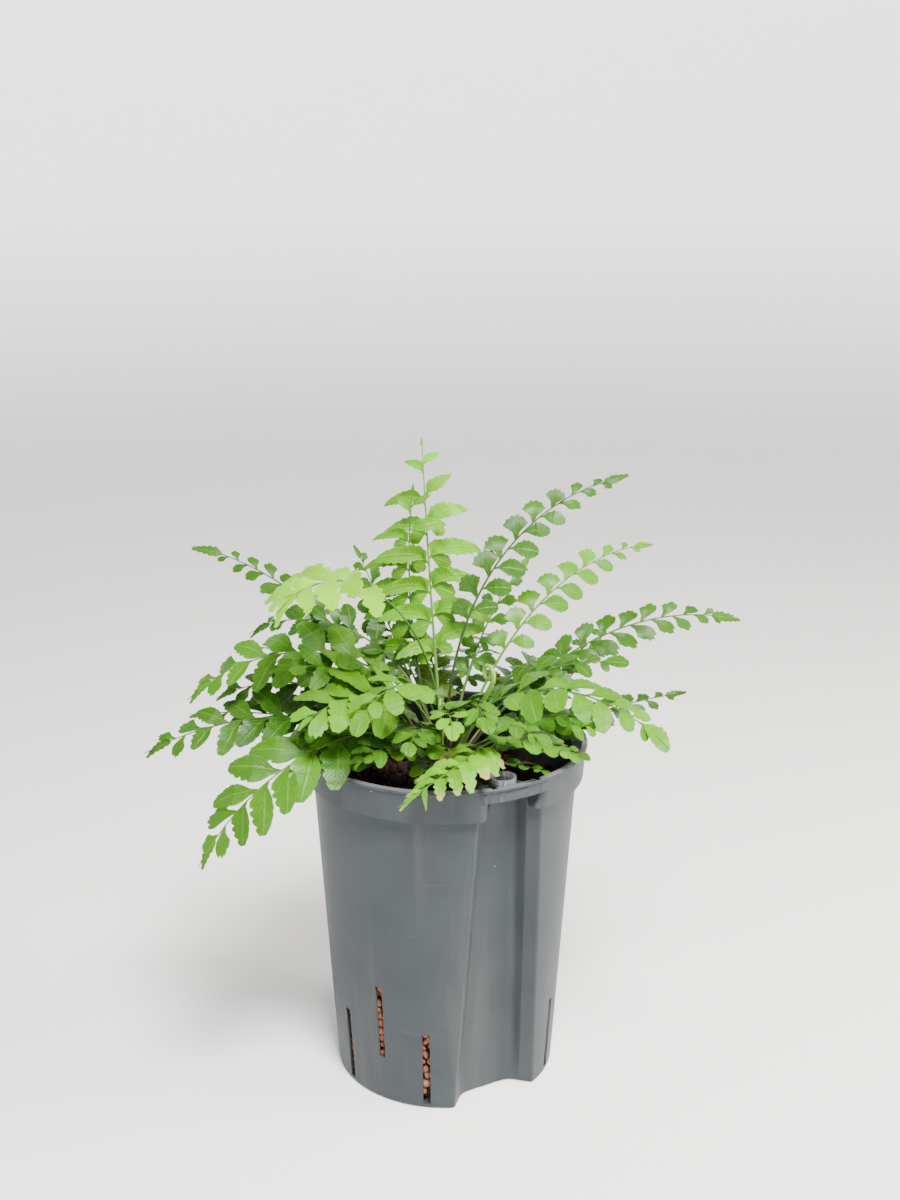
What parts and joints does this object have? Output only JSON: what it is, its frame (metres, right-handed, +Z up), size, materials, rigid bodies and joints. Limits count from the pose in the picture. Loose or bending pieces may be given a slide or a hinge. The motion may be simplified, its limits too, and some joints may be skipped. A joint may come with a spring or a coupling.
{
  "type": "potted fern",
  "caption": "Young fern with pinnate fronds and rolled fiddleheads, growing in clay granules in a slotted hydroculture insert pot with a channel and guide ring for a water gauge.",
  "frame": {"origin": "centre of the pot's foot, on the surface that it stands on", "axes": "+Z up, the long way of the plant; +Y towards the back; +X to the right; the pot's gauge channel faces -Y and a little +X"},
  "size_m": [0.3206, 0.2487, 0.3508],
  "materials": {
    "pot_plastic": "dark grey moulded plastic, satin, with fine specks and scuffs",
    "clay_granules": "rough fired clay, red-brown, moist and darker on top",
    "crown": "brown scaly root crown with old leaf stubs",
    "fronds": "thin living leaf, satin, mid to yellow green with fine veins, paler edges and brown dead tips",
    "fiddleheads": "young rolled frond, pale green with brown hairs"
  },
  "bodies": {
    "root": {"clay_granules": "clay_granules", "crown": "crown", "culture_pot": "pot_plastic", "fiddlehead_front": "fiddleheads", "fiddlehead_left": "fiddleheads", "frond_back_1": "fronds", "frond_back_2": "fronds", "frond_back_3": "fronds", "frond_back_4": "fronds", "frond_back_5": "fronds", "frond_back_6": "fronds", "frond_back_7": "fronds", "frond_back_inner": "fronds", "frond_back_left_high": "fronds", "frond_front_cluster": "fronds", "frond_front_leaf": "fronds", "frond_front_left": "fronds", "frond_front_low": "fronds", "frond_front_mid": "fronds", "frond_front_right": "fronds", "frond_front_rim": "fronds", "frond_inner_1": "fronds", "frond_inner_10": "fronds", "frond_inner_11": "fronds", "frond_inner_12": "fronds", "frond_inner_2": "fronds", "frond_inner_3": "fronds", "frond_inner_4": "fronds", "frond_inner_5": "fronds", "frond_inner_6": "fronds", "frond_inner_7": "fronds", "frond_inner_8": "fronds", "frond_inner_9": "fronds", "frond_left_back_low": "fronds", "frond_left_bright": "fronds", "frond_left_dark": "fronds", "frond_left_drooping": "fronds", "frond_left_far": "fronds", "frond_left_inner": "fronds", "frond_left_low": "fronds", "frond_left_mid": "fronds", "frond_left_shade": "fronds", "frond_right_front": "fronds", "frond_right_high": "fronds", "frond_right_inner": "fronds", "frond_right_inner_low": "fronds", "frond_right_long": "fronds", "frond_right_low": "fronds", "frond_right_mid": "fronds", "frond_right_small": "fronds", "frond_rim_right": "fronds", "frond_ring_side": "fronds", "frond_upright_back": "fronds", "frond_upright_front": "fronds"}
  },
  "joints": []
}
